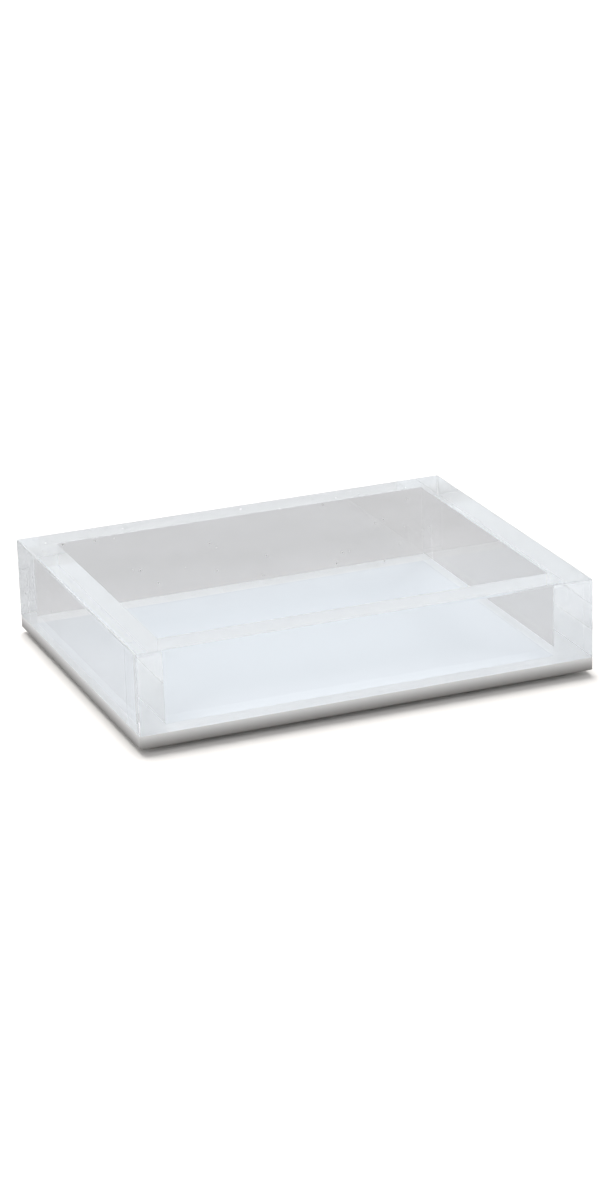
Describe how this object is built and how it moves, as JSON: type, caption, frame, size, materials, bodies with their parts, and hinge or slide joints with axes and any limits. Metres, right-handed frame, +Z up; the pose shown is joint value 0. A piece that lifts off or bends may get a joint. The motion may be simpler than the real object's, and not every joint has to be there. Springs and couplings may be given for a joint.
{
  "type": "shoe box",
  "caption": "Open rectangular shoe box: thick clear acrylic walls, butt-jointed at the corners, bonded to a flush white base plate on bumper feet.",
  "frame": {"origin": "on the surface the box stands on, under the middle of the box", "axes": "+X along the box's length, +Z up through the open top, front faces -Y"},
  "size_m": [0.356, 0.28, 0.076],
  "materials": {
    "clear_wall": "clear cast acrylic, polished faces and edges",
    "white_base": "opaque white acrylic sheet, gloss",
    "bumper_foot": "soft translucent bumper, satin"
  },
  "bodies": {
    "root": {"base_plate": "white_base", "front_wall": "clear_wall", "back_wall": "clear_wall", "left_wall": "clear_wall", "right_wall": "clear_wall", "foot_front_left": "bumper_foot", "foot_front_right": "bumper_foot", "foot_back_left": "bumper_foot", "foot_back_right": "bumper_foot"}
  },
  "joints": []
}
